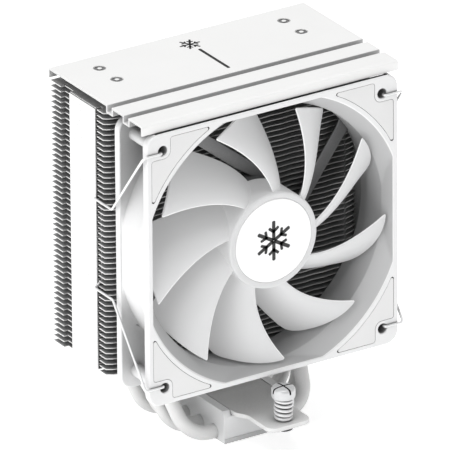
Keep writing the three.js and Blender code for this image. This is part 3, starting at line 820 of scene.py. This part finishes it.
FLANGE = 3.7
CORNER_R = 5.5
CONE_R = 62.5                          # inlet radius at the front face
CONE_DEPTH = 7
DUCT_R = 57
FLARE_FROM = 18                        # the duct widens behind this depth
FLARE = 1.3
RIM_HALF = 57.7                        # the inlet's cone is cut by flats this far from the centre
FLAT_DRAFT = 0.17
HOLE_R = 2.15
POST_R = 2.9                           # the posts around the mounting holes
PAD_DEEP = 1.3                         # pockets for the corner pads
GAP_DEEP = 0.9                         # the shallow gap along the top edge, under the cover's lip, tinted dark as painted shadow
GAP_HALF = FAN_HALF - CORNER_R + 1
GAP_LOW = (-GAP_HALF, FAN_FRONT + 0.7, FAN_Z + FAN_HALF - GAP_DEEP)
GAP_HIGH = (GAP_HALF, FAN_FRONT + FLANGE + 1, FAN_Z + FAN_HALF + 1)


def square_reach(angle, half, radius):
    """Distance from the centre to the edge of a rounded square, in one direction."""
    c, s = sorted((abs(math.cos(angle)), abs(math.sin(angle))), reverse=True)
    straight = half - radius
    if half * s / c <= straight:
        return half / c
    along = straight * (c + s)
    return along + math.sqrt(along ** 2 - 2 * straight ** 2 + radius ** 2)


def duct_reach(angle, depth):
    """Radius of the duct's inner wall: a cone with four flats, a cylinder and a small flare."""
    across = max(abs(math.cos(angle)), abs(math.sin(angle)))
    flat = RIM_HALF - FLAT_DRAFT * min(depth, CONE_DEPTH)
    flat = mix(flat, DUCT_R + 0.1, (depth - CONE_DEPTH) / 9)
    radius = mix(CONE_R, DUCT_R, depth / CONE_DEPTH)
    radius += mix(0, FLARE, (depth - FLARE_FROM) / (FAN_DEPTH - FLARE_FROM))
    return radius if depth > FLARE_FROM else min(radius, flat / across)


def shell_reach(angle, depth):
    """Radius of the duct's outer wall, cut to a square just inside the flanges."""
    across = max(abs(math.cos(angle)), abs(math.sin(angle)))
    return min(mix(64, 60.8, depth / 9), (FAN_HALF - 0.6) / across)


def housing_ring(angle):
    """The housing's wall in one direction, as a closed outline of radius and depth."""
    outer = square_reach(angle, FAN_HALF, CORNER_R)
    edge = 0.6
    foot = min(shell_reach(angle, FLANGE) + 0.5, outer - edge - 0.01)
    near = [(outer - edge, 0), (outer - 0.3 * edge, 0.3 * edge), (outer, edge),
            (outer, FLANGE - edge), (outer - 0.3 * edge, FLANGE - 0.3 * edge),
            (outer - edge, FLANGE), (foot, FLANGE)]
    walls = [FLANGE + 0.5, 6, 7.5, 9, 12.5, 16, 19, FAN_DEPTH - FLANGE - 0.5]
    middle = [(shell_reach(angle, d), d) for d in walls]
    far = [(r, FAN_DEPTH - d) for r, d in reversed(near)]
    inside = [24.6, 22.5, 20, 18, 16, 14, 12, 10, 8.5, CONE_DEPTH + 0.15, CONE_DEPTH - 0.15, 6,
              5, 4, 3, 2, 1, 0.35]
    bore = [(duct_reach(angle, FAN_DEPTH), FAN_DEPTH)]
    bore += [(duct_reach(angle, d), d) for d in inside]
    bore += [(duct_reach(angle, 0) + 0.3, 0)]
    wall = near + middle + far + bore
    return [fan_point(r * math.cos(angle), r * math.sin(angle), d) for r, d in wall]


def housing_angles():
    """Directions around the housing, closer together at its rounded corners."""
    quarter = list(range(42)) + [42 + 0.4 * k for k in range(15)] + list(range(48, 90))
    return [math.radians(90 * turn + a) for turn in range(4) for a in quarter]


def pad_outline(inset):
    """A corner pad in the upper right corner: an arc along the inlet and a notch at the hole."""
    outer, notch, arc = 58 - inset, 49 - inset, 64.4 + inset
    meet = math.sqrt(arc ** 2 - outer ** 2)
    corners = [(meet, outer), (notch, outer), (notch, notch), (outer, notch), (outer, meet)]
    radii = [0.8, 1.3 - inset, 3 + inset, 1.3 - inset, 0.8]
    end = math.atan2(meet, outer)
    steps = 12
    skip = math.radians(6)
    sweep = [mix(end + skip, TURN / 4 - end - skip, k / steps) for k in range(steps + 1)]
    rim = [(arc * math.cos(a), arc * math.sin(a)) for a in sweep]
    return rounded(corners + rim, radii + [0] * len(rim))


def quarter_turn(outline, turn):
    c, s = round(math.cos(TURN * turn / 4)), round(math.sin(TURN * turn / 4))
    return [(x * c - y * s, x * s + y * c) for x, y in outline]


def in_gap(point, normal):
    """The walls and floor of the gap along the top edge, which get painted shadow."""
    between = GAP_LOW[1] - 0.05 < point.y < GAP_HIGH[1] and abs(point.x) < GAP_HALF + 0.05
    return between and GAP_LOW[2] - 0.05 < point.z < FAN_Z + FAN_HALF - 0.02


def in_duct(point, normal):
    """The duct's inner wall, behind the rim at the front face, which gets painted shade."""
    x, z, depth = point.x, point.z - FAN_Z, point.y - FAN_FRONT
    away = math.hypot(x, z)
    faces_in = normal.x * x + normal.z * z < -0.2 * away
    inside = away < duct_reach(math.atan2(z, x), depth) + 0.3
    return faces_in and inside and 0.4 < depth < FAN_DEPTH


def fan_housing():
    shell = Shell().loft([housing_ring(a) for a in housing_angles()], closed=True)
    housing = make("fan_housing", shell, HOUSING, RECESS_SHADE, DUCT_SHADE)
    posts = Shell()
    for turn in range(4):
        spot = quarter_turn([(HOLE_AT, HOLE_AT)], turn)[0]
        posts.prism(circle(*spot, POST_R, 40), 2, FAN_DEPTH - 2, facing)
    carve(housing, posts, "UNION")
    tools = Shell()
    for turn in range(4):
        pocket = quarter_turn(pad_outline(0), turn)
        tools.prism(pocket, -1, PAD_DEEP, facing)
        tools.prism(pocket, FAN_DEPTH - PAD_DEEP, FAN_DEPTH + 1, facing)
        hole = quarter_turn([(HOLE_AT, HOLE_AT)], turn)[0]
        mouth = HOLE_R + 0.6
        profile = [(mouth, -0.3), (HOLE_R, 0.3), (HOLE_R, FAN_DEPTH - 0.3),
                   (mouth, FAN_DEPTH + 0.3)]
        tools.turned(profile, lambda a, b, h: fan_point(a + hole[0], b + hole[1], h), 32)
    tools.block(GAP_LOW, GAP_HIGH)
    carve(housing, tools)
    # painted shadow in the gap under the cover's lip
    tint_where(housing, 1, in_gap)
    # painted shade on the duct's inner wall
    tint_where(housing, 2, in_duct)
    shade(housing, 22)
    return place(housing, "heatsink", "frame_plastic", "fan_frame")


def corner_pad(side, turn):
    outline = quarter_turn(pad_outline(0.14), turn)
    low, high = (0, 1) if side == "front" else (FAN_DEPTH - 1, FAN_DEPTH)
    pad = make(f"pad_{side}_{turn + 1}", Shell().prism(outline, low, high, facing), PAD)
    soften(pad, 0.15, 2, 60)
    shade(pad)
    return place(pad, "heatsink", "pad_rubber", f"fan_pad_{side}_{turn + 1}")


STRUT_TURNS = (51, 144, 235, 324)      # degrees around the fan's axis
STRUT_FROM, STRUT_TO = 16.2, 22.4      # a strut's two sides, measured across from the axis
STRUT_DEEP = 4.1
STRUT_STEPS = (2.5, 4, 6, 9, 20, 30, 40, 48, 50, 52, 54, 56, 57.4)     # places along a strut


def fan_spider():
    """The cup that holds the motor, and the four leaning struts that carry it."""
    cup = [(20.3, 17.7), (20.3, FAN_DEPTH - 0.5), (19.8, FAN_DEPTH), (17.4, FAN_DEPTH),
           (17.2, FAN_DEPTH - 0.25), (0.3, FAN_DEPTH - 0.25), (0.3, FAN_DEPTH - 1.8),
           (4.3, FAN_DEPTH - 1.8), (4.3, 19.5), (6.2, 19.5), (6.2, FAN_DEPTH - 1.8),
           (19, FAN_DEPTH - 1.8), (19, 17.7), (19.2, 17.5), (20.1, 17.5)]
    shell = Shell().turned(cup, facing, 64, closed=True)
    front, rear = FAN_DEPTH - STRUT_DEEP, FAN_DEPTH - 0.1
    for turn in STRUT_TURNS:
        angle = math.radians(turn)
        across = Vector((math.cos(angle), math.sin(angle)))
        along = Vector((-across.y, across.x))
        rings = []
        for far in STRUT_STEPS:
            inner = max(STRUT_FROM, math.sqrt(max(19.4 ** 2 - far ** 2, 0)))
            wide = 1.6 * max(0, (far - 50) / 7) ** 2
            outer = min(STRUT_TO, 20.2 + 0.9 * (far - 2.5)) + wide
            slant = min(3, 0.5 * (outer - inner))
            corners = [(inner - wide, front), (outer, front), (outer, rear), (inner + slant, rear)]
            section = rounded(corners, 0.5, 3)
            rings.append([fan_point(*(across * side + along * far), d) for side, d in section])
        shell.loft(rings)
    # the motor cup and struts get painted shade
    spider = make("fan_spider", shell, SHADED)
    shade(spider)
    return place(spider, "heatsink", "frame_plastic")


# ------------------------------------------------------------------ impeller

HUB_R = 21
TIP_R = 56
BLADES = 9
FIRST_TIP = 37                         # degrees to a blade's leading tip


def blade_point(tip_angle, span, chord):
    """The middle of a blade at a share of its span and of its chord from the leading edge."""
    radius = mix(HUB_R - 0.8, TIP_R, span)
    reach = (radius - HUB_R) / (TIP_R - HUB_R)
    sweep = -0.3 + 21.9 * (1 - reach) + 7.4 * (1 - reach) ** 2
    width = 32.1 - 15.9 * reach + 12.2 * reach ** 2
    angle = math.radians(tip_angle - sweep - width * chord)
    depth = 2 + reach + (14 + 3 * reach) * (chord - 0.9 * chord * (1 - chord))
    return radius, angle, depth


def corner_cut(span, start):
    """How far a blade's rounded corner has drawn in, from 0 at its start to 1 at the tip."""
    share = mix(0, 1, (span - start) / (1 - start))
    return 1 - math.sqrt(1 - share ** 2)


def blade(shell, tip_angle):
    """A curved blade with thin edges. Its leading edge has the second material, a painted
    highlight.
    """
    spans = [k / 14 for k in range(13)] + [0.94, 0.965, 0.985, 1]
    chords = [0, 0.012, 0.022, 0.03] + [k / 16 for k in range(1, 16)] + [0.975, 1]
    front, back = [], []
    for span in spans:
        end = 1 - 0.13 * corner_cut(span, 0.86)
        start = 0.02 * corner_cut(span, 0.97)
        rows = [[], []]
        for chord in chords:
            radius, angle, depth = blade_point(tip_angle, span, mix(start, end, chord))
            body = 4 * chord * (1 - chord)
            half = 0.32 + 0.55 * body ** 0.7 * (1 - 0.45 * span)
            edge = min(chord, 1 - chord)
            half *= mix(0.35, 1, edge / 0.03)
            x, z = radius * math.cos(angle), radius * math.sin(angle)
            for row, side in zip(rows, (-half, half)):
                row.append(fan_point(x, z, depth + side))
        front.append(rows[0])
        back.append(rows[1])
    rings = [a + b[::-1] for a, b in zip(front, back)]
    start = len(shell.faces)
    shell.loft(rings)
    total = len(rings[0])
    for row in range(len(rings) - 1):
        for column in (0, 1, total - 1):
            shell.tints[start + row * total + column] = 1


def impeller():
    """The hub's rim and cup, and the blades around it."""
    rim = [(19.2, 2.4), (18.15, 1.9), (18.15, 0.4), (18.4, 0.1), (20.0, 0), (20.55, 0.18),
           (20.85, 0.5), (HUB_R, 1.1), (HUB_R, 16.2), (20.8, 16.5), (19.7, 16.5), (19.5, 16.3),
           (19.5, 2.6)]
    shell = Shell().turned(rim, facing, 96, closed=True)
    for k in range(BLADES):
        blade(shell, FIRST_TIP + 360 * k / BLADES)
    wheel = make("fan_wheel", shell, BLADE, BLADE_EDGE_HIGHLIGHT)
    shade(wheel, 40)
    return place(wheel, "impeller", "blade_plastic", "impeller")


def hub_disc():
    profile = [(18, 2.3), (18.1, 0.3), (18.0, 0.08), (17.8, 0), (0.5, 0)]
    disc = make("hub_disc", Shell().turned(profile, facing, 96), DISC)
    shade(disc, 60)
    return place(disc, "impeller", "hub_plastic", "hub_medallion")


# ------------------------------------------------------------------ clips

def fan_clip(name, side):
    """A bent wire: a hook in each front hole, a slanting arm, and a loop in the fins' notch."""
    low, high = extent(f"fan_clip_{name}")
    wire = 0.52
    face = FAN_FRONT - wire - 0.05
    hook = (high.z - low.z) / 2 - 0.65
    hole_x = HOLE_AT + 0.9
    out = max(abs(low.x), abs(high.x)) - wire
    notch_x, notch_y = fin_high.x - 2.2, 2.5
    bend_y, loop = -11.5, 20
    hooked = 0.8                       # how far the hook reaches into the hole
    upper = [(hole_x, FAN_FRONT + hooked, hook), (hole_x, face, hook), (out, face, hook),
             (out, bend_y, loop), (out, notch_y, loop), (notch_x, notch_y, loop - 2.6)]
    lower = [(x, y, -z) for x, y, z in reversed(upper)]
    corners = [(side * x, y, FAN_Z + z) for x, y, z in upper + lower]
    radii = [1.2, 1.5, 1.5, 1, 0.8, 0.8, 1, 1.5, 1.5, 1.2]
    shell = Shell().tube(route(corners, radii, 6), wire, sides=14)
    clip = make(f"clip_{name}_wire", shell, WIRE)
    shade(clip, 60)
    return place(clip, f"clip_{name}", "white_steel", f"fan_clip_{name}")


# ------------------------------------------------------------------ the motor's own CAD nodes

MOTOR_LOOKS = {
    "bearing_tube": BRASS,
    "bearing_front": STEEL,
    "bearing_rear": STEEL,
    "stator_core": STEEL,
    "motor_board": BOARD,
    "rotor_cup": STEEL,
    "magnet_ring": FERRITE,
    "shaft": STEEL,
    "shaft_clip": STEEL,
    "stator_coil_1": COPPER,
    "stator_coil_2": COPPER,
    "stator_coil_3": COPPER,
    "stator_coil_4": COPPER,
}


def dress_motor():
    for name, finish in MOTOR_LOOKS.items():
        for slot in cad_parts[name].material_slots:
            slot.material = finish


# ------------------------------------------------------------------ studio

VIEW_AZIMUTH = -32.19                  # degrees, from -Y towards +X
VIEW_HEIGHT = 24.26
VIEW_ROLL = -0.41
VIEW_DISTANCE = 5473                   # from the centre of the fan's front face
FAN_RIGHT_OF_CENTRE = 19.77            # how far that centre lies from the camera's axis
FAN_BELOW_CENTRE = 6.36
LENS = 1080

LIT_AT = Vector((0, 0, 0.09))          # where the lights point; the studio is in metres
FLOOR_HALF = 8.0
FLOOR_SQUARES = 40
SKY = 0.4


def camera():
    azimuth, height, roll = (math.radians(a) for a in (VIEW_AZIMUTH, VIEW_HEIGHT, VIEW_ROLL))
    back = Vector((math.sin(azimuth) * math.cos(height), -math.cos(azimuth) * math.cos(height),
                   math.sin(height)))
    level = Vector((0, 0, 1)).cross(back).normalized()
    rise = back.cross(level)
    right = level * math.cos(roll) + rise * math.sin(roll)
    up = rise * math.cos(roll) - level * math.sin(roll)
    aim = fan_point(0, 0, 0) - right * FAN_RIGHT_OF_CENTRE + up * FAN_BELOW_CENTRE
    spot = (aim + back * VIEW_DISTANCE) * MM
    data = bpy.data.cameras.new("camera")
    data.lens = LENS
    data.sensor_width = 36
    data.clip_end = 100
    eye = bpy.data.objects.new("camera", data)
    turned = Matrix((right, up, back)).transposed().to_4x4()
    eye.matrix_world = Matrix.Translation(spot) @ turned
    bpy.context.scene.collection.objects.link(eye)
    bpy.context.scene.camera = eye


def soft_light(name, spot, size, power):
    data = bpy.data.lights.new(name, "AREA")
    data.shape = "SQUARE"
    data.size = size
    data.energy = power
    lamp = bpy.data.objects.new(name, data)
    turned = (LIT_AT - Vector(spot)).to_track_quat("-Z", "Y").to_matrix().to_4x4()
    lamp.matrix_world = Matrix.Translation(spot) @ turned
    bpy.context.scene.collection.objects.link(lamp)


def studio():
    """A pale floor, an even white sky and two soft lights."""
    mesh = bpy.data.meshes.new("floor")
    grown = bmesh.new()
    squares = FLOOR_SQUARES
    bmesh.ops.create_grid(grown, x_segments=squares, y_segments=squares, size=FLOOR_HALF)
    grown.to_mesh(mesh)
    grown.free()
    mesh.materials.append(FLOOR)
    ground = bpy.data.objects.new("floor", mesh)
    bpy.context.scene.collection.objects.link(ground)

    world = bpy.data.worlds.new("studio")
    world.use_nodes = True
    sky = world.node_tree.nodes["Background"]
    sky.inputs["Color"].default_value = (1, 1, 1, 1)
    sky.inputs["Strength"].default_value = SKY
    bpy.context.scene.world = world
    bpy.context.scene.view_settings.view_transform = "Standard"

    soft_light("left", (-1.9, -0.7, 0.9), 1.6, 15)
    soft_light("above", (-0.2, 0.1, 2.2), 1.8, 31)


# ------------------------------------------------------------------ assembly

camera()
studio()
base_block()
mounting_bar()
fin_stack()
top_cover()
cover_mark()
fan_housing()
fan_spider()
impeller()
hub_disc()
hub_mark()
for number in (1, 2, 3, 4):
    heat_pipe(number)
    cover_rivet(number)
    corner_pad("front", number - 1)
    corner_pad("rear", number - 1)
for number in (1, 2):
    bar_screw(number)
for end_name, end_y in (("front", -SCREW_Y), ("rear", SCREW_Y)):
    spring_screw(end_name, end_y)
    screw_spring(end_name, end_y)
    retaining_ring(end_name, end_y)
fan_clip("left", -1)
fan_clip("right", 1)
dress_motor()
